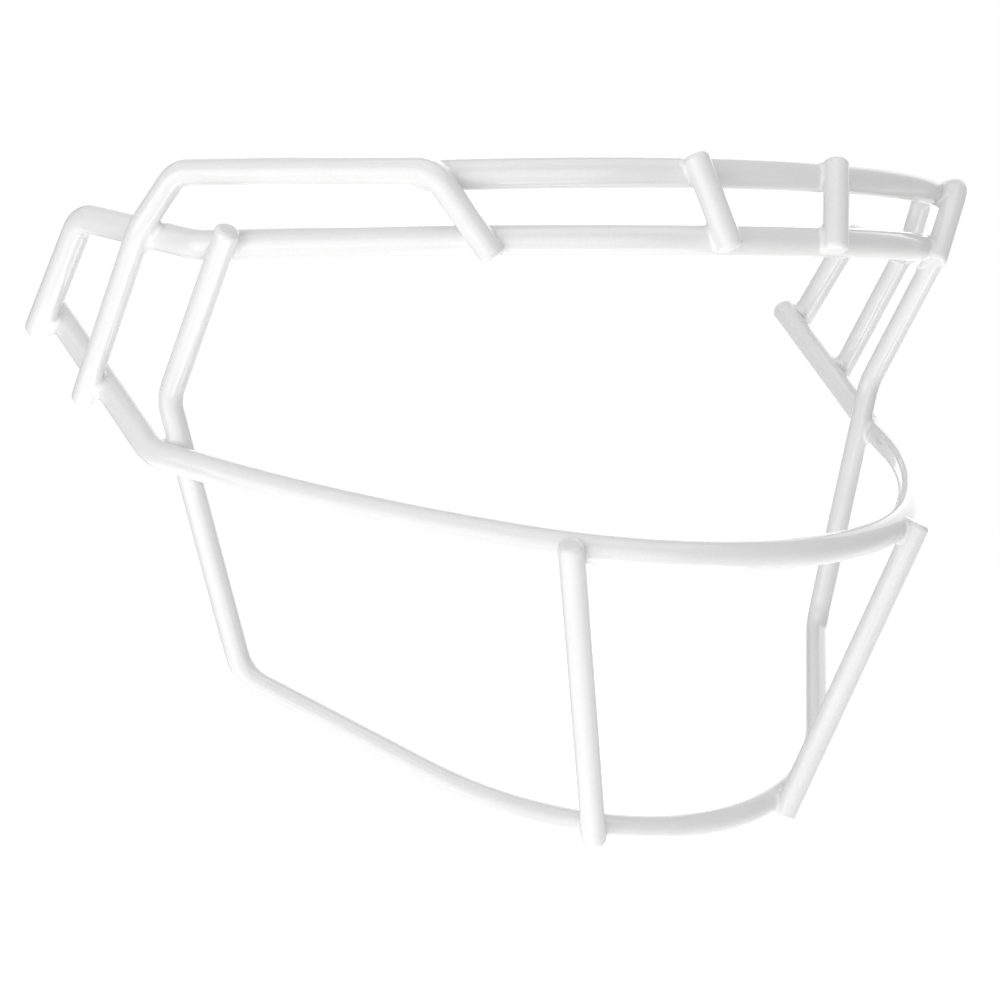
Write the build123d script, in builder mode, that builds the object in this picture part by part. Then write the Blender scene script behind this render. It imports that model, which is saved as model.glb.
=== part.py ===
from build123d import *
import os
from dataclasses import dataclass
from math import asin, cos, degrees, hypot, radians, sin, tan

# Football helmet facemask: round wires, bent, welded where they cross and coated all over.
# The wearer looks along -Y, up is +Z, and X = 0 is the plane of symmetry. The wearer's left is +X.
# The origin is on the brow bar's centre line, at its foremost point. Wires are sized over the coat.

# Wires and welds
thick_wire = 6.4
thin_wire = 5.5
coat_thickness = 0.4
weld_press = 0.6
wire_end_round = 1.2
thick_bend = 8.0
thin_bend = 7.0
bead_show = 0.9
bead_half_height = 2.0
bead_rim_share = 0.6

# Brow bar: a level front bow, sides that rise to the temples, and legs bent down and back.
# The rise and the leg each run this far across, back and up from the bend before them.
brow_radius = 94.0
brow_half_angle = 52.8
brow_side_length = 41.7
brow_side_bend = 16.0
brow_rise_across = 11.3
brow_rise_back = 39.2
brow_rise_up = 7.4
brow_leg_across = 1.7
brow_leg_back = 26.6
brow_leg_up = -25.8

# Upper bar: a short bow above and behind the brow bar's middle
upper_front_y = 4.1
upper_front_z = 14.1
upper_tilt = -2.2
upper_radius = 116.9
upper_half_width = 69.4

# Mouth bar: a bow that drops towards its front, and ends that run up to the brow bar's legs
mouth_front_y = -2.8
mouth_front_z = -65.9
mouth_tilt = 12.35
mouth_radius = 75.4
mouth_half_angle = 43.4
mouth_side_radius = 202.6
mouth_side_angle = 20.5
mouth_side_length = 18.7
mouth_bend = 16.0
mouth_end_past = 3.1
leg_end_past_mouth = 4.2

# Chin wire: a bow under the chin, and uprights that pass inside the mouth bar
chin_front_y = 27.4
chin_front_z = -129.6
chin_tilt = 28.2
chin_radius = 66.7
chin_half_angle = 55.4
chin_side_length = 49.0
chin_corner_bend = 9.0
chin_upright_bend = 9.0
chin_on_mouth = 4.6
chin_past_mouth = 12.0
chin_on_brow = 8.0
chin_top_past = 5.8

# Temple loops: from the mouth bar's end over the brow bar's side to the upper bar's end, and down again.
# The shoulder lies this far across, back and up from the brow bar's side.
loop_foot_share = 0.5
loop_foot_past = 5.1
loop_side_share = 0.37
loop_side_past = 2.5
loop_side_bend = 14.0
loop_shoulder_across = -4.6
loop_shoulder_back = -12.0
loop_shoulder_up = 13.5
loop_crown = 2.8
loop_crown_share = 0.75
loop_on_upper = 1.2
loop_corner_past = 1.9
loop_corner_rise = 0.7
loop_inner_x = 57.1
loop_inner_past = 1.9

# Ties across the two upper bars, and struts down to the chin wire
tie_upper_x = 17.3
tie_brow_x = 13.8
tie_top_past = 2.6
tie_bottom_past = 3.5
strut_mouth_x = 43.0
strut_chin_x = 25.0
strut_top_past = 3.0
strut_bottom_past = 2.2

thick_r = thick_wire / 2
thin_r = thin_wire / 2
weld_sink = 2 * coat_thickness + weld_press
thick_on_thick = thick_r + thick_r - weld_sink
thin_on_thick = thin_r + thick_r - weld_sink
thin_on_thin = thin_r + thin_r - weld_sink

outward = Vector(1, -1, 0).normalized()
inward = Vector(-1, 1, 0).normalized()
forward = Vector(0, -1, 0)
sideways = Vector(1, 0, 0)
upward = Vector(0, 0, 1)


@dataclass
class Bow:
    """A bow in a plane that tilts about X: a front arc, then on each side a larger arc and a straight."""

    front_y: float
    front_z: float
    tilt: float
    radius: float
    half_angle: float
    side_radius: float = 0
    side_angle: float = 0
    side_length: float = 0

    def place(self, across, back):
        """The point at a distance across and back from the bow's front, on the wearer's left."""
        rise = radians(self.tilt)
        return Vector(across, self.front_y + back * cos(rise), self.front_z + back * sin(rise))

    def heading(self, angle):
        """The direction in which the bow runs where it has turned by this angle."""
        turn = radians(angle)
        rise = radians(self.tilt)
        return Vector(cos(turn), sin(turn) * cos(rise), sin(turn) * sin(rise))

    def at(self, angle):
        """The point where the front arc has turned by this angle."""
        turn = radians(angle)
        return self.place(self.radius * sin(turn), self.radius * (1 - cos(turn)))

    def angle_at(self, across):
        """The angle by which the front arc has turned at this distance across."""
        return degrees(asin(across / self.radius))

    def side_at(self, share):
        """The point at this share of the side arc."""
        start = radians(self.half_angle)
        turn = radians(self.half_angle + share * self.side_angle)
        across = self.radius * sin(start) + self.side_radius * (sin(turn) - sin(start))
        back = self.radius * (1 - cos(start)) + self.side_radius * (cos(start) - cos(turn))
        return self.place(across, back)

    def end(self):
        """The point where the bow's side ends."""
        return self.side_at(1) + self.heading(self.end_angle()) * self.side_length

    def end_angle(self):
        """The angle by which the whole bow has turned at its end."""
        return self.half_angle + self.side_angle


@dataclass
class Crossing:
    """Where one wire lies on another: the axis point of the wire below, and the way to the one above."""

    below: Vector
    normal: Vector
    gap: float
    below_r: float

    def above(self):
        """The axis point of the wire above."""
        return self.below + self.normal * self.gap

    def middle(self):
        """The middle of the stretch that the two wires share."""
        return self.below + self.normal * (self.below_r - weld_sink / 2)


def cross(below, tangent, run, gap, below_r, away):
    """The crossing of a wire that passes below along tangent with one that runs along run."""
    normal = tangent.cross(run).normalized()
    if normal.dot(away) < 0:
        normal = normal * -1
    return Crossing(below, normal, gap, below_r)


def flip(point):
    """The same place on the wearer's right."""
    return Vector(-point.X, point.Y, point.Z)


def between(start, stop, share):
    """The point at this share of the way from start to stop."""
    return start + (stop - start) * share


def toward(start, stop):
    """The direction from start to stop."""
    return (stop - start).normalized()


def round_ends(wire, radius):
    """Rounds the rims of a wire's two cut ends."""
    fillet(wire.faces().filter_by(GeomType.PLANE).edges(), radius)


# The bows
brow = Bow(0, 0, 0, brow_radius, brow_half_angle, side_length=brow_side_length)
upper = Bow(upper_front_y, upper_front_z, upper_tilt, upper_radius, 0)
mouth = Bow(mouth_front_y, mouth_front_z, mouth_tilt, mouth_radius, mouth_half_angle,
            mouth_side_radius, mouth_side_angle, mouth_side_length)
chin = Bow(chin_front_y, chin_front_z, chin_tilt, chin_radius, chin_half_angle,
           side_length=chin_side_length)

# Brow bar, from its side bend to the end of its leg
brow_heading = brow.heading(brow.end_angle())
brow_bend = brow.end()
brow_corner = brow_bend + Vector(brow_rise_across, brow_rise_back, brow_rise_up)
brow_leg_end = brow_corner + Vector(brow_leg_across, brow_leg_back, brow_leg_up)
brow_leg_run = toward(brow_corner, brow_leg_end)

# Mouth bar, from its bend to its end on the inside of the brow bar's leg
mouth_heading = mouth.heading(mouth.end_angle())
mouth_corner = mouth.end()
leg_spot = brow_leg_end - brow_leg_run * leg_end_past_mouth
leg_weld = cross(leg_spot, brow_leg_run, toward(mouth_corner, leg_spot), thick_on_thick, thick_r, sideways * -1)
mouth_run = toward(mouth_corner, leg_weld.above())
mouth_tip = leg_weld.above() + mouth_run * mouth_end_past

# Chin wire, from its corner past the inside of the mouth bar to its top on the brow bar
chin_corner = chin.end()
chin_mouth_spot = mouth_corner - mouth_heading * chin_on_mouth
chin_mouth_weld = cross(chin_mouth_spot, mouth_heading, toward(chin_corner, chin_mouth_spot),
                        thin_on_thick, thick_r, inward)
chin_run = toward(chin_corner, chin_mouth_weld.above())
chin_upright_foot = chin_mouth_weld.above() + chin_run * chin_past_mouth
chin_brow_spot = brow_bend - brow_heading * chin_on_brow
chin_brow_weld = cross(chin_brow_spot, brow_heading, toward(chin_upright_foot, chin_brow_spot),
                       thin_on_thick, thick_r, outward)
chin_top_run = toward(chin_upright_foot, chin_brow_weld.above())
chin_top = chin_brow_weld.above() + chin_top_run * chin_top_past

# Temple loop, from its foot over the brow bar's side
foot_spot = between(mouth_corner, leg_weld.above(), loop_foot_share)
side_spot = between(brow_bend, brow_corner, loop_side_share)
foot_aim = toward(foot_spot, side_spot)
foot_weld = cross(foot_spot, mouth_run, foot_aim, thin_on_thick, thick_r, sideways)
side_weld = cross(side_spot, toward(brow_bend, brow_corner), foot_aim, thin_on_thick, thick_r, sideways)
foot_run = toward(foot_weld.above(), side_weld.above())
loop_foot = foot_weld.above() - foot_run * loop_foot_past
loop_knee = side_weld.above() + foot_run * loop_side_past
loop_shoulder = side_weld.above() + Vector(loop_shoulder_across, loop_shoulder_back, loop_shoulder_up)

# Temple loop, from its shoulder past the upper bar's end and down to the brow bar
upper_spot_angle = upper.angle_at(upper_half_width - loop_on_upper)
upper_spot = upper.at(upper_spot_angle)
upper_weld = cross(upper_spot, upper.heading(upper_spot_angle), upward, thin_on_thick, thick_r, outward)
loop_top_run = toward(loop_shoulder, upper_weld.above())
loop_corner = upper_weld.above() + loop_top_run * loop_corner_past + upward * loop_corner_rise
loop_middle = between(loop_shoulder, loop_corner, 1 / 2) + outward * loop_crown
inner_spot_angle = brow.angle_at(loop_inner_x)
inner_spot = brow.at(inner_spot_angle)
inner_weld = cross(inner_spot, brow.heading(inner_spot_angle), toward(loop_corner, inner_spot),
                   thin_on_thick, thick_r, outward)
inner_run = toward(loop_corner, inner_weld.above())
loop_tip = inner_weld.above() + inner_run * loop_inner_past

# Tie between the upper bar and the brow bar
tie_upper_angle = upper.angle_at(tie_upper_x)
tie_brow_angle = brow.angle_at(tie_brow_x)
tie_aim = toward(upper.at(tie_upper_angle), brow.at(tie_brow_angle))
tie_upper_weld = cross(upper.at(tie_upper_angle), upper.heading(tie_upper_angle), tie_aim,
                       thin_on_thick, thick_r, forward)
tie_brow_weld = cross(brow.at(tie_brow_angle), brow.heading(tie_brow_angle), tie_aim,
                      thin_on_thick, thick_r, forward)
tie_run = toward(tie_upper_weld.above(), tie_brow_weld.above())

# Strut between the mouth bar and the chin wire
strut_mouth_angle = mouth.angle_at(strut_mouth_x)
strut_chin_angle = chin.angle_at(strut_chin_x)
strut_aim = toward(mouth.at(strut_mouth_angle), chin.at(strut_chin_angle))
strut_mouth_weld = cross(mouth.at(strut_mouth_angle), mouth.heading(strut_mouth_angle), strut_aim,
                         thin_on_thick, thick_r, forward)
strut_chin_weld = cross(chin.at(strut_chin_angle), chin.heading(strut_chin_angle), strut_aim,
                        thin_on_thin, thin_r, forward)
strut_run = toward(strut_mouth_weld.above(), strut_chin_weld.above())

os.makedirs("parts", exist_ok=True)


def save(piece, name):
    """Labels a finished piece and writes it."""
    piece.part.label = name
    export_step(piece.part, f"parts/{name}.step")


# Brow bar
with BuildPart() as brow_bar:
    with BuildLine() as brow_path:
        ThreePointArc(flip(brow.side_at(0)), brow.at(0), brow.side_at(0))
        FilletPolyline(brow.side_at(0), brow_bend, brow_corner, brow_leg_end,
                       radius=[brow_side_bend, thick_bend])
        FilletPolyline(flip(brow.side_at(0)), flip(brow_bend), flip(brow_corner), flip(brow_leg_end),
                       radius=[brow_side_bend, thick_bend])
    brow_line = brow_path.wire()
    with BuildSketch(Plane(origin=brow_line @ 0, z_dir=brow_line % 0)):
        Circle(thick_r)
    sweep(path=brow_line)
    round_ends(brow_bar, wire_end_round)

# Upper bar
with BuildPart() as upper_bar:
    with BuildLine() as upper_path:
        upper_end = upper.at(upper.angle_at(upper_half_width))
        ThreePointArc(flip(upper_end), upper.at(0), upper_end)
    upper_line = upper_path.wire()
    with BuildSketch(Plane(origin=upper_line @ 0, z_dir=upper_line % 0)):
        Circle(thick_r)
    sweep(path=upper_line)
    round_ends(upper_bar, wire_end_round)

# Mouth bar as it is bent, before it is welded
with BuildPart() as mouth_stock:
    with BuildLine() as mouth_path:
        ThreePointArc(flip(mouth.side_at(0)), mouth.at(0), mouth.side_at(0))
        ThreePointArc(mouth.side_at(0), mouth.side_at(1 / 2), mouth.side_at(1))
        FilletPolyline(mouth.side_at(1), mouth_corner, mouth_tip, radius=[mouth_bend])
        ThreePointArc(flip(mouth.side_at(0)), flip(mouth.side_at(1 / 2)), flip(mouth.side_at(1)))
        FilletPolyline(flip(mouth.side_at(1)), flip(mouth_corner), flip(mouth_tip), radius=[mouth_bend])
    mouth_line = mouth_path.wire()
    with BuildSketch(Plane(origin=mouth_line @ 0, z_dir=mouth_line % 0)):
        Circle(thick_r)
    sweep(path=mouth_line)
    round_ends(mouth_stock, wire_end_round)

# Chin wire as it is bent
with BuildPart() as chin_stock:
    with BuildLine() as chin_path:
        ThreePointArc(flip(chin.side_at(0)), chin.at(0), chin.side_at(0))
        FilletPolyline(chin.side_at(0), chin_corner, chin_upright_foot, chin_top,
                       radius=[chin_corner_bend, chin_upright_bend])
        FilletPolyline(flip(chin.side_at(0)), flip(chin_corner), flip(chin_upright_foot), flip(chin_top),
                       radius=[chin_corner_bend, chin_upright_bend])
    chin_line = chin_path.wire()
    with BuildSketch(Plane(origin=chin_line @ 0, z_dir=chin_line % 0)):
        Circle(thin_r)
    sweep(path=chin_line)
    round_ends(chin_stock, wire_end_round)

# Left temple loop as it is bent. Its top run bulges outwards in one large bend.
loop_half_run = (loop_corner - loop_middle).length
loop_crown_turn = 2 * degrees(asin(loop_crown / loop_half_run))
loop_crown_bend = loop_crown_share * loop_half_run / tan(radians(loop_crown_turn / 2))
with BuildPart() as loop_stock:
    with BuildLine() as loop_path:
        FilletPolyline(loop_foot, loop_knee, loop_shoulder, loop_middle, loop_corner, loop_tip,
                       radius=[loop_side_bend, thin_bend, loop_crown_bend, thin_bend])
    loop_line = loop_path.wire()
    with BuildSketch(Plane(origin=loop_line @ 0, z_dir=loop_line % 0)):
        Circle(thin_r)
    sweep(path=loop_line)
    round_ends(loop_stock, wire_end_round)


def straight_stock(start, stop):
    """A straight thin wire with rounded ends."""
    with BuildPart() as rod:
        with BuildSketch(Plane(origin=start, z_dir=toward(start, stop))):
            Circle(thin_r)
        extrude(amount=(stop - start).length)
        round_ends(rod, wire_end_round)
    return rod


tie_stock = straight_stock(tie_upper_weld.above() - tie_run * tie_top_past,
                           tie_brow_weld.above() + tie_run * tie_bottom_past)
strut_stock = straight_stock(strut_mouth_weld.above() - strut_run * strut_top_past,
                             strut_chin_weld.above() + strut_run * strut_bottom_past)


def seated(stock, *seats):
    """The wire as welded, with a shallow seat where each wire that it lies on is pressed into it."""
    with BuildPart() as wire:
        add(stock.part)
        for seat in seats:
            add(seat.part, mode=Mode.SUBTRACT)
    return wire


def weld_bead(crossing, above_r, *wires):
    """The bead of weld and coat that fills the creases around a crossing."""
    with BuildPart() as bead:
        bead_r = hypot(crossing.below_r, above_r) + bead_show
        bottom = crossing.middle() - crossing.normal * bead_half_height
        with BuildSketch(Plane(origin=bottom, z_dir=crossing.normal)):
            Circle(bead_r)
        extrude(amount=2 * bead_half_height)
        fillet(bead.edges().filter_by(GeomType.CIRCLE), bead_rim_share * bead_half_height)
        for wire in wires:
            add(wire.part, mode=Mode.SUBTRACT)
    return bead


def opposite(piece):
    """The same piece on the wearer's right."""
    with BuildPart() as twin:
        add(piece.part)
        mirror(about=Plane.YZ, mode=Mode.REPLACE)
    return twin


mouth_bar = seated(mouth_stock, brow_bar)
chin_wire = seated(chin_stock, brow_bar, mouth_stock)

# The pieces of the wearer's left side, which the right side mirrors
pairs = {
    "temple_loop": seated(loop_stock, brow_bar, upper_bar, mouth_stock),
    "brow_tie": seated(tie_stock, upper_bar, brow_bar),
    "chin_strut": seated(strut_stock, mouth_stock, chin_stock),
    "weld_tie_upper": weld_bead(tie_upper_weld, thin_r, upper_bar, tie_stock),
    "weld_tie_brow": weld_bead(tie_brow_weld, thin_r, brow_bar, tie_stock),
    "weld_loop_upper": weld_bead(upper_weld, thin_r, upper_bar, loop_stock),
    "weld_loop_brow": weld_bead(inner_weld, thin_r, brow_bar, loop_stock),
    "weld_loop_side": weld_bead(side_weld, thin_r, brow_bar, loop_stock),
    "weld_loop_foot": weld_bead(foot_weld, thin_r, mouth_stock, loop_stock),
    "weld_leg_mouth": weld_bead(leg_weld, thick_r, brow_bar, mouth_stock),
    "weld_chin_brow": weld_bead(chin_brow_weld, thin_r, brow_bar, chin_stock),
    "weld_chin_mouth": weld_bead(chin_mouth_weld, thin_r, mouth_stock, chin_stock),
    "weld_strut_mouth": weld_bead(strut_mouth_weld, thin_r, mouth_stock, strut_stock),
    "weld_strut_chin": weld_bead(strut_chin_weld, thin_r, chin_stock, strut_stock),
}

save(brow_bar, "brow_bar")
save(upper_bar, "upper_bar")
save(mouth_bar, "mouth_bar")
save(chin_wire, "chin_wire")
for pair_name, left_piece in pairs.items():
    save(left_piece, f"{pair_name}_left")
    save(opposite(left_piece), f"{pair_name}_right")
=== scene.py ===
"""Looks of a football helmet facemask: coated wires, the coat over their welds, and a pale studio."""

import logging
from dataclasses import dataclass
from enum import Enum
from math import cos, radians, sin
from typing import Any

import bpy
import numpy as np
from mathutils import Matrix, Vector, noise
from mathutils.bvhtree import BVHTree

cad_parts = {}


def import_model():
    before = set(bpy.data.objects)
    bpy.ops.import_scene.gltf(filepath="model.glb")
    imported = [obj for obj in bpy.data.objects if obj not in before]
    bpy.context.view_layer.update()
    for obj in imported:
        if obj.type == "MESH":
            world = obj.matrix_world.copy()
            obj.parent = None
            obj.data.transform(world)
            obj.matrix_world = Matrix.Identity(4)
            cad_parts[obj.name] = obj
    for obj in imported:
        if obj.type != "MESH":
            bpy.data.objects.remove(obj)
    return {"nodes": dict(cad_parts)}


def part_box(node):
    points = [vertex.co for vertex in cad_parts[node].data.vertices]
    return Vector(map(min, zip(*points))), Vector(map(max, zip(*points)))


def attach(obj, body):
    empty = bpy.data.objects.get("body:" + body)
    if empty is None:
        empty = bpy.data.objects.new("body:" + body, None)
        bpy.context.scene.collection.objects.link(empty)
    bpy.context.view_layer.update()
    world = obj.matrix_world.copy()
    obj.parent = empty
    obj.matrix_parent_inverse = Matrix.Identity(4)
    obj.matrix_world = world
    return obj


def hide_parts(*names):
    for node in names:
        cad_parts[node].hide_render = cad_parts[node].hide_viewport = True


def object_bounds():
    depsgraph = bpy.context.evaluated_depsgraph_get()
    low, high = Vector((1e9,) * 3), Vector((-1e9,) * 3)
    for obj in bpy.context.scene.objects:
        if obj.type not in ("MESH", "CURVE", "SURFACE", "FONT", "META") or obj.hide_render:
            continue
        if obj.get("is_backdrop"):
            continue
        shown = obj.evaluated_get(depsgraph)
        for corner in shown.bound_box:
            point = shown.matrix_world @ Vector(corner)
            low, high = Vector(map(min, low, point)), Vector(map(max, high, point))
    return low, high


LOG = logging.getLogger("facemask")
MM = 0.001
ROOT = "root"

# A Mix node's sockets for colours are set by number, since its sockets for numbers have the same names.
MIX_FIRST, MIX_SECOND, MIX_RESULT = 6, 7, 2

# A smooth blend of two distances lies at most this share of its width above them.
MOST_LIFT = 0.25

# Divisors never fall below these.
LEAST_AREA = 1e-30
LEAST_LENGTH = 1e-9

Nodes = dict[str, bpy.types.Object]


class Side(Enum):
    """The wearer's two sides."""

    LEFT = "left"
    RIGHT = "right"


class Slot(Enum):
    """The record's material slots."""

    WIRE = "coated_wire"
    WELD = "coated_weld"


def linear(colour: str) -> tuple[float, float, float, float]:
    """Turns an sRGB hex colour into linear light.

    Args:
        colour: A colour such as "#F2F2F0".

    Returns:
        Red, green, blue and an alpha of one.
    """
    shares = [int(colour[i : i + 2], 16) / 255 for i in (1, 3, 5)]
    light = [s / 12.92 if s <= 0.04045 else ((s + 0.055) / 1.055) ** 2.4 for s in shares]
    return light[0], light[1], light[2], 1.0


def fresh_tree(block: bpy.types.Material | bpy.types.World) -> bpy.types.NodeTree:
    """Gives a material or a world an empty node tree.

    Args:
        block: The material or world.

    Returns:
        Its tree.
    """
    block.use_nodes = True
    block.node_tree.nodes.clear()
    return block.node_tree


def add_node(tree: bpy.types.NodeTree, kind: str, inputs: dict[Any, Any], **settings: Any) -> bpy.types.Node:
    """Adds a node with its settings, and sets or links its inputs.

    Args:
        tree: The node tree that gets the node.
        kind: The node's type name.
        inputs: Input names or numbers, each with a value or with the socket that it is linked from.
        **settings: The node's own properties.

    Returns:
        The new node.
    """
    node = tree.nodes.new(kind)
    for name, value in settings.items():
        setattr(node, name, value)
    for key, value in inputs.items():
        if isinstance(value, bpy.types.NodeSocket):
            tree.links.new(value, node.inputs[key])
        else:
            node.inputs[key].default_value = value
    return node


def per_metre(size_mm: float) -> float:
    """The texture scale whose features are this many millimetres across."""
    return 1 / (size_mm * MM)


def seen(tree: bpy.types.NodeTree) -> bpy.types.NodeSocket:
    """A socket that is one where a backdrop is seen, directly or in a gloss or glass, and else zero.

    Args:
        tree: The node tree that needs it.

    Returns:
        The socket.
    """
    path = add_node(tree, "ShaderNodeLightPath", {})
    direct = add_node(tree, "ShaderNodeMath", operation="MAXIMUM",
                      inputs={0: path.outputs["Is Camera Ray"], 1: path.outputs["Is Glossy Ray"]})
    either = add_node(tree, "ShaderNodeMath", operation="MAXIMUM",
                      inputs={0: direct.outputs["Value"], 1: path.outputs["Is Transmission Ray"]})
    return either.outputs["Value"]


def flat_panel(name: str, width: float, height: float, material: bpy.types.Material) -> bpy.types.Object:
    """Makes a rectangle that lies flat round its own middle.

    Args:
        name: The name of the object and its mesh.
        width: Its size along X, in metres.
        height: Its size along Y, in metres.
        material: What it is made of.

    Returns:
        The rectangle, linked to the scene.
    """
    across, along = width / 2, height / 2
    corners = [(-across, -along, 0), (across, -along, 0), (across, along, 0), (-across, along, 0)]
    mesh = bpy.data.meshes.new(name)
    mesh.from_pydata(corners, [], [(0, 1, 2, 3)])
    mesh.materials.append(material)
    panel = bpy.data.objects.new(name, mesh)
    bpy.context.scene.collection.objects.link(panel)
    return panel


@dataclass(frozen=True)
class FusedNylon:
    """White nylon powder, fused on hot steel wire: a thick, glossy coat with a faint orange peel."""

    name: str
    slot: Slot
    pigment: str = "#F0F0F0"
    thin_pigment: str = "#EAEAEA"
    cloud_mm: float = 14.0
    speck: str = "#D2D2D2"
    speck_share: float = 0.15
    speck_span: tuple[float, float] = (0.35, 0.65)
    ior: float = 1.53
    polished: float = 0.04
    dulled: float = 0.10
    dull_patch_mm: float = 6.0
    dull_span: tuple[float, float] = (0.3, 0.7)
    peel_mm: float = 1.7
    peel_height_mm: float = 0.003
    grit_mm: float = 0.35
    grit_height_mm: float = 0.0004

    def build(self) -> bpy.types.Material:
        """Makes the material.

        Returns:
            The coat as a procedural material.
        """
        material = bpy.data.materials.new(self.name)
        tree = fresh_tree(material)
        place = add_node(tree, "ShaderNodeTexCoord", {}).outputs["Object"]

        # The pigment lies a little thicker in some places, which the eye reads as a soft cloudiness.
        cloud = add_node(tree, "ShaderNodeTexNoise",
                         {"Vector": place, "Scale": per_metre(self.cloud_mm), "Detail": 2.0})
        clouded = add_node(tree, "ShaderNodeMix",
                           {"Factor": cloud.outputs["Fac"], MIX_FIRST: linear(self.pigment),
                            MIX_SECOND: linear(self.thin_pigment)}, data_type="RGBA")

        # The grains of the powder stay visible as a fine, faint grey speckle.
        grit = add_node(tree, "ShaderNodeTexNoise",
                        {"Vector": place, "Scale": per_metre(self.grit_mm), "Detail": 2.0})
        speck = add_node(tree, "ShaderNodeMapRange",
                         {"Value": grit.outputs["Fac"], "From Min": self.speck_span[0],
                          "From Max": self.speck_span[1], "To Max": self.speck_share})
        colour = add_node(tree, "ShaderNodeMix",
                          {"Factor": speck.outputs["Result"], MIX_FIRST: clouded.outputs[MIX_RESULT],
                           MIX_SECOND: linear(self.speck)}, data_type="RGBA")

        # Handling dulls the gloss in patches, so highlights are crisp in one place and softer in the next.
        patch = add_node(tree, "ShaderNodeTexNoise",
                         {"Vector": place, "Scale": per_metre(self.dull_patch_mm), "Detail": 3.0})
        gloss = add_node(tree, "ShaderNodeMapRange",
                         {"Value": patch.outputs["Fac"], "From Min": self.dull_span[0],
                          "From Max": self.dull_span[1], "To Min": self.polished, "To Max": self.dulled})

        # Fused powder levels out to an orange peel, which makes the edges of highlights waver.
        peel = add_node(tree, "ShaderNodeTexNoise",
                        {"Vector": place, "Scale": per_metre(self.peel_mm), "Detail": 1.0})
        peel_bump = add_node(tree, "ShaderNodeBump",
                             {"Height": peel.outputs["Fac"], "Distance": self.peel_height_mm * MM})

        # Single grains didn't melt quite flat. They are drawn coarser than life, so that they show close up.
        grit_bump = add_node(tree, "ShaderNodeBump",
                             {"Height": grit.outputs["Fac"], "Distance": self.grit_height_mm * MM,
                              "Normal": peel_bump.outputs["Normal"]})

        shader = add_node(tree, "ShaderNodeBsdfPrincipled",
                          {"Base Color": colour.outputs[MIX_RESULT], "Roughness": gloss.outputs["Result"],
                           "IOR": self.ior, "Normal": grit_bump.outputs["Normal"]})
        add_node(tree, "ShaderNodeOutputMaterial", {"Surface": shader.outputs["BSDF"]})
        return material


# The wires are even and glossy. On the welds the coat is thicker, and follows the ripples of the metal.
WIRE_COAT = FusedNylon("fused_nylon_wire_coat", Slot.WIRE)
WELD_COAT = FusedNylon("fused_nylon_weld_coat", Slot.WELD, polished=0.08, dulled=0.18, dull_patch_mm=2.5,
                       peel_mm=1.1, peel_height_mm=0.008, grit_height_mm=0.0008)


def dots(rows: np.ndarray, others: np.ndarray) -> np.ndarray:
    """The dot product of each row with the same row of the others."""
    return np.einsum("ij,ij->i", rows, others)


def units(rows: np.ndarray) -> np.ndarray:
    """The rows, each brought to a length of one."""
    return rows / np.maximum(np.linalg.norm(rows, axis=1, keepdims=True), LEAST_LENGTH)


class WireSurface:
    """The surface of one packed wire, as signed distances and smooth normals."""

    def __init__(self, wire: bpy.types.Object) -> None:
        """Reads the wire's mesh.

        Args:
            wire: The node as it was loaded.
        """
        mesh = wire.data
        mesh.calc_loop_triangles()
        count = len(mesh.loop_triangles)
        corners = np.zeros(len(mesh.vertices) * 3, np.float32)
        mesh.vertices.foreach_get("co", corners)
        spots = np.zeros(count * 3, np.int32)
        mesh.loop_triangles.foreach_get("vertices", spots)
        loops = np.zeros(count * 3, np.int32)
        mesh.loop_triangles.foreach_get("loops", loops)
        normals = np.zeros(len(mesh.loops) * 3, np.float32)
        mesh.corner_normals.foreach_get("vector", normals)
        self.corners = corners.reshape(-1, 3).astype(float)[spots.reshape(-1, 3)]
        self.normals = normals.reshape(-1, 3).astype(float)[loops.reshape(-1, 3)]
        self.tree = BVHTree.FromPolygons(corners.reshape(-1, 3).tolist(), spots.reshape(-1, 3).tolist())

    def measure(self, points: np.ndarray) -> tuple[np.ndarray, np.ndarray, np.ndarray]:
        """Finds how far points lie from the wire.

        Args:
            points: Points in metres, one a row.

        Returns:
            The signed distances, which are negative inside, the nearest points, and their triangles.
        """
        gaps = np.empty(len(points))
        feet = np.empty((len(points), 3))
        hits = np.empty(len(points), np.int64)
        for i, point in enumerate(points.tolist()):
            foot, normal, hit, gap = self.tree.find_nearest(point)
            gaps[i] = gap if (Vector(point) - foot).dot(normal) >= 0 else -gap
            feet[i] = foot
            hits[i] = hit
        return gaps, feet, hits

    def normals_at(self, feet: np.ndarray, hits: np.ndarray) -> np.ndarray:
        """Blends the corner normals of triangles at points on them.

        Args:
            feet: Points on the surface, one a row.
            hits: The triangle that each lies on.

        Returns:
            A unit normal for each point.
        """
        first, second, third = (self.corners[hits, k] for k in range(3))
        across, along, to_foot = second - first, third - first, feet - first
        aa, ab, bb = dots(across, across), dots(across, along), dots(along, along)
        fa, fb = dots(to_foot, across), dots(to_foot, along)
        whole = np.maximum(aa * bb - ab * ab, LEAST_AREA)
        second_share = np.clip((bb * fa - ab * fb) / whole, 0, 1)
        third_share = np.clip((aa * fb - ab * fa) / whole, 0, 1)
        shares = np.stack([1 - second_share - third_share, second_share, third_share], axis=1)
        return units(np.einsum("ij,ijk->ik", shares, self.normals[hits]))


def whole_spots(count: int) -> np.ndarray:
    """All points of a cube with this many points along each side, as whole numbers, one point a row."""
    return np.stack(np.meshgrid(*[np.arange(count)] * 3, indexing="ij"), axis=-1).reshape(-1, 3)


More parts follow.
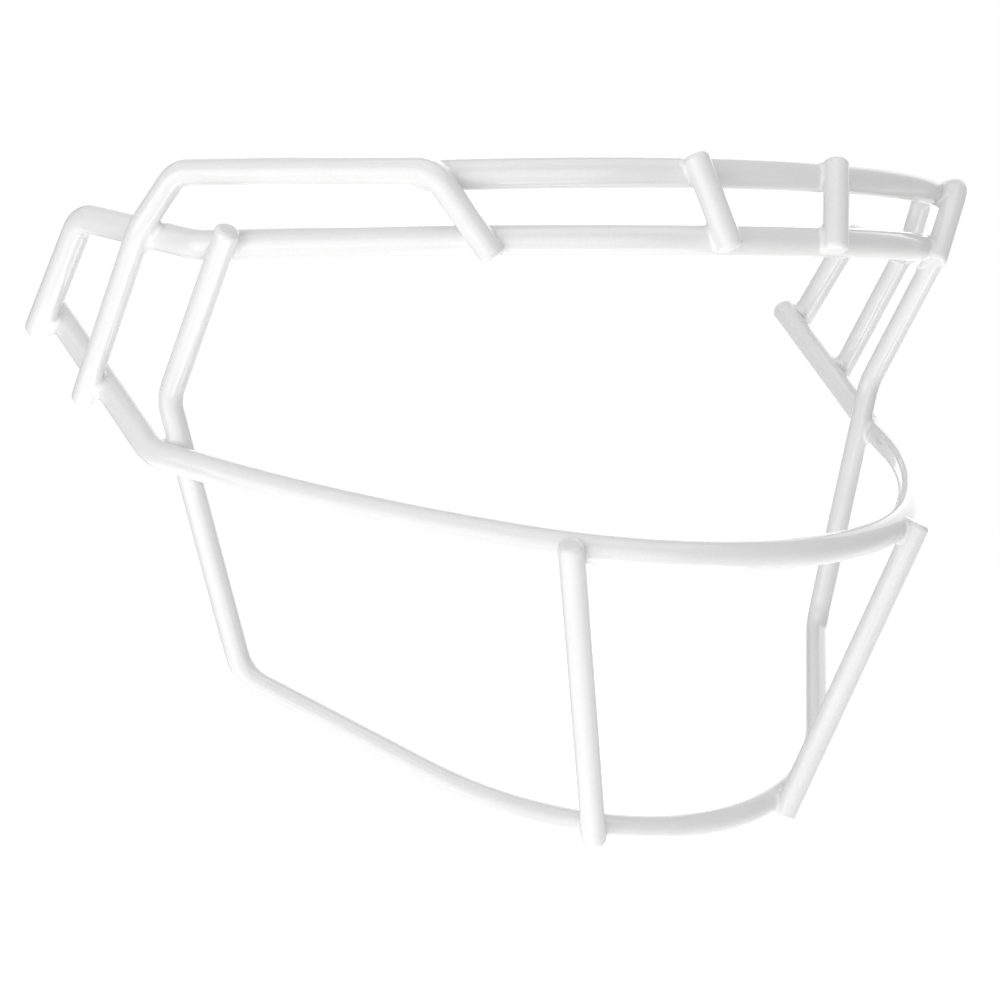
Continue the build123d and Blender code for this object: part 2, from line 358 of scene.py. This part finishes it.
def surface_net(values: np.ndarray) -> tuple[np.ndarray, np.ndarray]:
    """Nets the surface where a grid of values changes sign.

    Args:
        values: A cube of values, negative inside the shape and positive all round it.

    Returns:
        The net's points in grid steps, and its four-sided faces, wound outwards.
    """
    cells = tuple(n - 1 for n in values.shape)
    total = np.zeros((np.prod(cells), 3))
    count = np.zeros(np.prod(cells))
    steps = np.eye(3, dtype=int)
    faces = []
    for axis in range(3):
        across, along = steps[(axis + 1) % 3], steps[(axis + 2) % 3]
        low = np.delete(values, -1, axis)
        high = np.delete(values, 0, axis)
        crossed = (low < 0) != (high < 0)
        start = np.argwhere(crossed)
        share = low[crossed] / (low[crossed] - high[crossed])
        spot = start + share[:, None] * steps[axis]

        # Each grid edge that the surface crosses gives one face, whose corners are the four cells round it.
        around = np.stack([start - across - along, start - along, start, start - across], axis=1)
        ids = np.ravel_multi_index(tuple(around.reshape(-1, 3).T), cells).reshape(-1, 4)
        np.add.at(total, ids.ravel(), np.repeat(spot, 4, axis=0))
        np.add.at(count, ids.ravel(), 1)
        faces.append(np.where((low[crossed] < 0)[:, None], ids, ids[:, ::-1]))

    # A cell's point is the mean of the crossings on its edges.
    used = np.flatnonzero(count)
    number = np.full(len(count), -1)
    number[used] = np.arange(len(used))
    return total[used] / count[used, None], number[np.concatenate(faces)]


@dataclass(frozen=True)
class Crossing:
    """The place where two wires are welded together."""

    below: WireSurface
    above: WireSurface
    centre: np.ndarray

    def gaps(self, points: np.ndarray) -> tuple[np.ndarray, np.ndarray]:
        """The signed distances of points to the wire below and to the wire above."""
        return self.below.measure(points)[0], self.above.measure(points)[0]


@dataclass(frozen=True)
class Weld:
    """One kind of weld: the two wires that it joins, and how the coat flows over it.

    The coat follows a smooth blend of the two wires' surfaces, which starts where the distances to them
    differ by less than flow_mm. Near that line, and at reach_mm from the middle of the weld, its edge dips
    under the surface of the wires. Its hidden side lies depth_mm under that surface.
    """

    site: str
    below: str
    above: str
    flow_mm: float = 1.5
    ripple_share: float = 0.25
    ripple_mm: float = 2.2
    edge_share: float = 0.75
    edge_run_mm: float = 0.5
    edge_dip_mm: float = 0.4
    depth_mm: float = 0.3
    reach_mm: float = 9.0
    fade_share: float = 0.3
    cell_mm: float = 0.28
    cells_in_block: int = 3
    spare_blocks: int = 2
    settle_steps: int = 3
    least_rise: float = 0.5

    def height(self, low: np.ndarray, high: np.ndarray, points: np.ndarray,
               centre: np.ndarray) -> tuple[np.ndarray, np.ndarray, np.ndarray]:
        """Blends the distances to the two wires.

        Args:
            low: Distances to the wire below.
            high: Distances to the wire above.
            points: The points, in metres.
            centre: The middle of the weld.

        Returns:
            The distance to the coat's surface, how much each point is shared between the wires, and how
            steeply the coat dips there.
        """
        reach = self.reach_mm * MM
        out = np.linalg.norm(points - centre, axis=1)
        faded = np.clip((out / reach - 1) / self.fade_share + 1, 0, 1)
        waves = np.array([noise.noise(Vector(p) * per_metre(self.ripple_mm)) for p in points.tolist()])
        rippled = self.flow_mm * MM * (1 + self.ripple_share * waves)
        flow = np.maximum(rippled * (1 - faded), self.depth_mm * MM)
        apart = np.abs(low - high)
        shared = np.maximum(flow - apart, 0) / flow
        edge = np.clip((apart - self.edge_share * flow) / (self.edge_run_mm * MM), 0, 1)
        dip = np.maximum(edge, faded) * self.edge_dip_mm * MM
        steep = np.where((edge > faded) & (edge < 1), self.edge_dip_mm / self.edge_run_mm, 0)
        return np.minimum(low, high) - shared**2 * flow * MOST_LIFT + dip, shared, steep

    def body(self, points: np.ndarray, crossing: Crossing) -> np.ndarray:
        """Values that are negative inside the weld's coat.

        Args:
            points: Points in metres, one a row.
            crossing: The place of the weld.

        Returns:
            One value a point.
        """
        low, high = crossing.gaps(points)
        top = self.height(low, high, points, crossing.centre)[0]
        return np.maximum(top, -np.minimum(low, high) - self.depth_mm * MM)

    def near_blocks(self, crossing: Crossing, blocks: int) -> np.ndarray:
        """Finds the blocks of cells that the coat may pass through.

        Args:
            crossing: The place of the weld.
            blocks: How many blocks the grid has along each side.

        Returns:
            The blocks' numbers along each axis, one block a row.
        """
        block = self.cell_mm * self.cells_in_block * MM
        numbers = whole_spots(blocks)
        middles = (numbers + 0.5 - blocks / 2) * block
        within = np.linalg.norm(middles, axis=1) < self.reach_mm * MM
        numbers = numbers[within]
        low, high = crossing.gaps(crossing.centre + middles[within])
        corner = block * 3**0.5 / 2
        widest = self.flow_mm * (1 + self.ripple_share) * MM
        nearest, farthest = np.minimum(low, high), np.maximum(low, high)
        near = (nearest < widest * MOST_LIFT + corner) & (nearest > -self.depth_mm * MM - corner)
        near &= farthest < widest + self.edge_run_mm * MM + corner
        return numbers[near]

    def grid(self, crossing: Crossing) -> tuple[np.ndarray, np.ndarray]:
        """Measures the coat on a cube of points, but only in the blocks that it may pass through.

        Args:
            crossing: The place of the weld.

        Returns:
            The cube's lowest corner, and the values at its points.
        """
        cell = self.cell_mm * MM
        blocks = 2 * int(np.ceil(self.reach_mm / (self.cell_mm * self.cells_in_block))) + self.spare_blocks
        points_along = blocks * self.cells_in_block + 1
        offsets = whole_spots(self.cells_in_block + 1)
        numbers = self.near_blocks(crossing, blocks)
        spots = np.unique((numbers[:, None] * self.cells_in_block + offsets).reshape(-1, 3), axis=0)
        corner = crossing.centre - (points_along - 1) / 2 * cell
        values = np.full((points_along,) * 3, cell)
        values[tuple(spots.T)] = self.body(corner + spots * cell, crossing)
        return corner, values

    def settle(self, skin: np.ndarray, faces: np.ndarray,
               crossing: Crossing) -> tuple[np.ndarray, np.ndarray]:
        """Moves the net's outer points exactly onto the coat's surface.

        The normals turn inwards only behind the faces that reach the outside, which keeps the edge clean.

        Args:
            skin: The net's points in metres.
            faces: The net's faces.
            crossing: The place of the weld.

        Returns:
            The points, and a normal for each.
        """
        for _ in range(self.settle_steps):
            low, low_feet, low_hits = crossing.below.measure(skin)
            high, high_feet, high_hits = crossing.above.measure(skin)
            height, shared, steep = self.height(low, high, skin, crossing.centre)
            low_normals = crossing.below.normals_at(low_feet, low_hits)
            high_normals = crossing.above.normals_at(high_feet, high_hits)
            high_share = np.where(high < low, 1 - shared / 2, shared / 2)[:, None]
            normals = low_normals * (1 - high_share) + high_normals * high_share
            tilt = np.where(high < low, -steep, steep)[:, None]
            rise = normals + tilt * (high_normals - low_normals)
            length = np.linalg.norm(rise, axis=1, keepdims=True)
            outer = height > -np.minimum(low, high) - self.depth_mm * MM
            step = np.clip(height, -self.cell_mm * MM, self.cell_mm * MM)
            skin = skin - np.where(outer, step, 0)[:, None] * rise / np.maximum(length, self.least_rise) ** 2
        normals = units(normals)
        shown = np.zeros(len(skin), bool)
        shown[faces[outer[faces].any(axis=1)]] = True
        return skin, np.where(shown[:, None], normals, -normals)

    def build(self, side: Side, surfaces: tuple[WireSurface, WireSurface]) -> bpy.types.Object:
        """Makes the coat over the weld on one side.

        Args:
            side: The wearer's side.
            surfaces: The wire below and the wire above.

        Returns:
            The coat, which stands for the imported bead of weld.
        """
        node = f"weld_{self.site}_{side.value}"
        low_corner, high_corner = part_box(node)
        crossing = Crossing(surfaces[0], surfaces[1], np.array((low_corner + high_corner) / 2))
        corner, values = self.grid(crossing)
        net, faces = surface_net(values)
        skin, normals = self.settle(corner + net * (self.cell_mm * MM), faces, crossing)

        name = f"coat_{self.site}_{side.value}"
        mesh = bpy.data.meshes.new(name)
        mesh.from_pydata(skin.tolist(), [], faces.tolist())
        mesh.shade_smooth()
        mesh.normals_split_custom_set_from_vertices(normals.tolist())
        piece = bpy.data.objects.new(name, mesh)
        bpy.context.scene.collection.objects.link(piece)
        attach(piece, ROOT)
        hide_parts(node)
        return piece


@dataclass
class WireAssembly:
    """A group of wires that are bent and welded together: its wires, and the welds that they are held by."""

    name: str
    single_wires: tuple[str, ...]
    paired_wires: tuple[str, ...]
    welds: tuple[Weld, ...]

    def wires(self) -> list[str]:
        """The names of all the assembly's wires."""
        return [*self.single_wires, *(f"{wire}_{side.value}" for wire in self.paired_wires for side in Side)]

    def build(self, nodes: Nodes, surfaces: dict[str, WireSurface]) -> list[bpy.types.Object]:
        """Makes the coat over each of the assembly's welds.

        Args:
            nodes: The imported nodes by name.
            surfaces: The wires' surfaces by node name, which are read here when first needed.

        Returns:
            The coats.
        """
        coats = []
        for weld in self.welds:
            for side in Side:
                pair = []
                for wire in (weld.below, weld.above):
                    node = wire if wire in nodes else f"{wire}_{side.value}"
                    if node not in surfaces:
                        surfaces[node] = WireSurface(nodes[node])
                    pair.append(surfaces[node])
                coats.append(weld.build(side, (pair[0], pair[1])))
                LOG.info("%s: %s, %d faces", self.name, coats[-1].name, len(coats[-1].data.polygons))
        return coats

    def dress(self, nodes: Nodes, coats: list[bpy.types.Object],
              finishes: dict[Slot, bpy.types.Material]) -> None:
        """Gives the wires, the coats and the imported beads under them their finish.

        Args:
            nodes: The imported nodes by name.
            coats: The coats over the welds.
            finishes: The material of each slot.
        """
        beads = [nodes[f"weld_{weld.site}_{side.value}"] for weld in self.welds for side in Side]
        dressed = [(nodes[wire], Slot.WIRE) for wire in self.wires()]
        dressed += [(piece, Slot.WELD) for piece in [*beads, *coats]]
        for piece, slot in dressed:
            piece.data.materials.clear()
            piece.data.materials.append(finishes[slot])
            LOG.info("%s: %s dressed", self.name, piece.name)


@dataclass
class BrowCage(WireAssembly):
    """The upper bar and the brow bar, with the two ties between them."""

    name: str = "brow cage"
    single_wires: tuple[str, ...] = ("upper_bar", "brow_bar")
    paired_wires: tuple[str, ...] = ("brow_tie",)
    welds: tuple[Weld, ...] = (
        Weld("tie_upper", "upper_bar", "brow_tie"),
        Weld("tie_brow", "brow_bar", "brow_tie"),
    )


@dataclass
class TempleLoops(WireAssembly):
    """The two open loops at the temples, which stand off the brow bar's sides."""

    name: str = "temple loops"
    single_wires: tuple[str, ...] = ()
    paired_wires: tuple[str, ...] = ("temple_loop",)
    welds: tuple[Weld, ...] = (
        Weld("loop_upper", "upper_bar", "temple_loop", flow_mm=3.0),
        Weld("loop_brow", "brow_bar", "temple_loop"),
        Weld("loop_side", "brow_bar", "temple_loop", flow_mm=2.2),
        Weld("loop_foot", "mouth_bar", "temple_loop", flow_mm=1.9, ripple_share=0.5, ripple_mm=1.3),
    )


@dataclass
class MouthCage(WireAssembly):
    """The mouth bar, whose ends hold the brow bar's legs."""

    name: str = "mouth cage"
    single_wires: tuple[str, ...] = ("mouth_bar",)
    paired_wires: tuple[str, ...] = ()
    welds: tuple[Weld, ...] = (
        Weld("leg_mouth", "brow_bar", "mouth_bar", flow_mm=1.9, ripple_share=0.5, ripple_mm=1.3),
    )


@dataclass
class ChinCage(WireAssembly):
    """The chin wire and its two struts."""

    name: str = "chin cage"
    single_wires: tuple[str, ...] = ("chin_wire",)
    paired_wires: tuple[str, ...] = ("chin_strut",)
    welds: tuple[Weld, ...] = (
        Weld("chin_brow", "brow_bar", "chin_wire"),
        Weld("chin_mouth", "mouth_bar", "chin_wire"),
        Weld("strut_mouth", "mouth_bar", "chin_strut"),
        Weld("strut_chin", "chin_wire", "chin_strut"),
    )


@dataclass(frozen=True)
class Heading:
    """A direction from the object, as angles round it: azimuth 0 is in front of the wearer."""

    azimuth: float
    elevation: float

    def away(self) -> Vector:
        """The unit vector that points from the object in this direction."""
        a, e = radians(self.azimuth), radians(self.elevation)
        return Vector((sin(a) * cos(e), -cos(a) * cos(e), sin(e)))

    def place(self, panel: bpy.types.Object, target: Vector, distance: float) -> None:
        """Puts a flat thing at a distance from the target in this direction, square to it.

        Args:
            panel: The thing, which lies flat when it isn't turned.
            target: What it is placed round.
            distance: How far off it stands, in metres.
        """
        away = self.away()
        panel.location = target + away * distance
        panel.rotation_euler = away.to_track_quat("Z", "Y").to_euler()


@dataclass(frozen=True)
class PhotoCamera:
    """The camera that saw the object: its place, where it looked from, and its lens."""

    heading: Heading = Heading(-30.669, 4.432)
    roll: float = -0.273
    place_mm: tuple[float, float, float] = (-297.467, -389.022, -16.623)
    focal_px: float = 2300.0
    image_px: float = 1000.0
    sensor_mm: float = 36.0

    def build(self) -> bpy.types.Object:
        """Makes the camera and gives it to the scene.

        Returns:
            The camera.
        """
        back = self.heading.away()
        level = Vector((0, 0, 1)).cross(back).normalized()
        upright = back.cross(level)
        turn = radians(self.roll)
        right = level * cos(turn) + upright * sin(turn)
        up = upright * cos(turn) - level * sin(turn)
        data = bpy.data.cameras.new("photo_camera")
        data.sensor_width = self.sensor_mm
        data.lens = self.focal_px / self.image_px * self.sensor_mm
        data.clip_start = MM
        camera = bpy.data.objects.new("photo_camera", data)
        axes = Matrix((right, up, back)).transposed().to_4x4()
        camera.matrix_world = Matrix.Translation(Vector(self.place_mm) * MM) @ axes
        bpy.context.scene.collection.objects.link(camera)
        bpy.context.scene.camera = camera
        return camera


@dataclass(frozen=True)
class SoftBox:
    """A large, even panel of light that faces the object, with its sizes in metres."""

    name: str
    heading: Heading
    distance: float
    width: float
    height: float
    watts: float

    def build(self, target: Vector) -> bpy.types.Object:
        """Makes the lamp, which is left out of the picture itself.

        Args:
            target: What the lamp faces.

        Returns:
            The lamp.
        """
        data = bpy.data.lights.new(self.name, "AREA")
        data.shape = "RECTANGLE"
        data.size = self.width
        data.size_y = self.height
        data.energy = self.watts
        lamp = bpy.data.objects.new(self.name, data)
        self.heading.place(lamp, target, self.distance)
        lamp.visible_camera = False
        bpy.context.scene.collection.objects.link(lamp)
        return lamp


@dataclass(frozen=True)
class PaleFloor:
    """A matt paper floor under the object, which is seen as white and keeps the object's faint shadow.

    Its lengths are in metres. Its glow grows from near to far, measured from the floor's middle.
    """

    colour: str = "#EFEFEE"
    gap: float = 0.55
    size: float = 8.0
    near_glow: float = 0.3
    far_glow: float = 0.8
    near: float = 0.3
    far: float = 1.2

    def build(self, lowest: float) -> bpy.types.Object:
        """Makes the floor.

        Args:
            lowest: The height of the object's lowest point.

        Returns:
            The floor.
        """
        floor = flat_panel("floor", self.size, self.size, self.paper())
        floor.location.z = lowest - self.gap
        floor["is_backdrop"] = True
        return floor

    def paper(self) -> bpy.types.Material:
        """Makes the floor's material.

        Returns:
            Paper with a glow that grows away from the object, as the lamps' light falls off there.
        """
        material = bpy.data.materials.new("matt_paper")
        tree = fresh_tree(material)
        place = add_node(tree, "ShaderNodeTexCoord", {}).outputs["Object"]
        out = add_node(tree, "ShaderNodeVectorMath", {0: place}, operation="LENGTH")
        strength = add_node(tree, "ShaderNodeMapRange",
                            {"Value": out.outputs["Value"], "From Min": self.near, "From Max": self.far,
                             "To Min": self.near_glow, "To Max": self.far_glow})
        shown = add_node(tree, "ShaderNodeMath", {0: seen(tree), 1: strength.outputs["Result"]},
                         operation="MULTIPLY")
        glow = add_node(tree, "ShaderNodeEmission", {"Strength": shown.outputs["Value"]})
        paper = add_node(tree, "ShaderNodeBsdfDiffuse", {"Color": linear(self.colour)})
        both = add_node(tree, "ShaderNodeAddShader", {0: paper.outputs["BSDF"], 1: glow.outputs["Emission"]})
        add_node(tree, "ShaderNodeOutputMaterial", {"Surface": both.outputs["Shader"]})
        return material


@dataclass(frozen=True)
class GreyCard:
    """A grey card behind the object on the camera's left, which isn't seen itself.

    It draws a thin grey line on the coat's left edges, where they would otherwise vanish in the white. Its
    sizes are in metres.
    """

    colour: str = "#C8C8C8"
    heading: Heading = Heading(-148.0, 5.0)
    distance: float = 1.0
    width: float = 2.0
    height: float = 1.2

    def build(self, target: Vector) -> bpy.types.Object:
        """Makes the card.

        Args:
            target: What the card faces.

        Returns:
            The card.
        """
        card = flat_panel("grey_card", self.width, self.height, self.board())
        self.heading.place(card, target, self.distance)
        card.visible_camera = False
        card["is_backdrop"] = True
        return card

    def board(self) -> bpy.types.Material:
        """Makes the card's material.

        Returns:
            A plain matt board.
        """
        material = bpy.data.materials.new("grey_board")
        tree = fresh_tree(material)
        board = add_node(tree, "ShaderNodeBsdfDiffuse", {"Color": linear(self.colour)})
        add_node(tree, "ShaderNodeOutputMaterial", {"Surface": board.outputs["BSDF"]})
        return material


@dataclass(frozen=True)
class Studio:
    """A white studio: a pale floor, soft light from all round, and large panels on five sides."""

    air_strength: float = 0.38
    backdrop_strength: float = 1.0
    floor: PaleFloor = PaleFloor()
    card: GreyCard = GreyCard()
    boxes: tuple[SoftBox, ...] = (
        SoftBox("side_softbox", Heading(-77.0, -5.0), 1.0, 0.91, 0.9, 4.2),
        SoftBox("front_softbox", Heading(-27.5, -5.0), 1.0, 0.91, 0.9, 2.5),
        SoftBox("high_softbox", Heading(-10.0, 75.0), 1.2, 1.2, 1.2, 4.2),
        SoftBox("low_softbox", Heading(-20.0, -89.9), 0.6, 0.6, 0.6, 2.3),
        SoftBox("back_softbox", Heading(130.0, 20.0), 1.2, 1.2, 1.2, 4.5),
    )

    def build_air(self) -> None:
        """Makes the world: white where it is seen, and elsewhere a soft, even light."""
        world = bpy.data.worlds.new("studio_air")
        tree = fresh_tree(world)
        strength = add_node(tree, "ShaderNodeMapRange",
                            {"Value": seen(tree), "To Min": self.air_strength,
                             "To Max": self.backdrop_strength})
        light = add_node(tree, "ShaderNodeBackground",
                         {"Color": linear("#FFFFFF"), "Strength": strength.outputs["Result"]})
        add_node(tree, "ShaderNodeOutputWorld", {"Surface": light.outputs["Background"]})
        bpy.context.scene.world = world

    def build(self, low: Vector, high: Vector) -> None:
        """Makes the world, the floor, the grey card and the lamps around the object.

        Args:
            low: The object's lowest corner.
            high: The object's highest corner.
        """
        self.build_air()
        self.floor.build(low.z)
        middle = (low + high) / 2
        self.card.build(middle)
        for box in self.boxes:
            box.build(middle)
            LOG.info("studio: %s", box.name)


def main() -> None:
    """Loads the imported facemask, dresses it and sets it in the studio."""
    logging.basicConfig(level=logging.INFO, format="%(message)s")
    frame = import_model()
    nodes = frame["nodes"]
    cad_low, cad_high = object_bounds()
    bpy.context.scene.view_settings.view_transform = "Standard"

    finishes = {coat.slot: coat.build() for coat in (WIRE_COAT, WELD_COAT)}
    surfaces: dict[str, WireSurface] = {}
    for assembly in (BrowCage(), TempleLoops(), MouthCage(), ChinCage()):
        coats = assembly.build(nodes, surfaces)
        assembly.dress(nodes, coats, finishes)

    Studio().build(cad_low, cad_high)
    PhotoCamera().build()


if __name__ == "__main__":
    main()
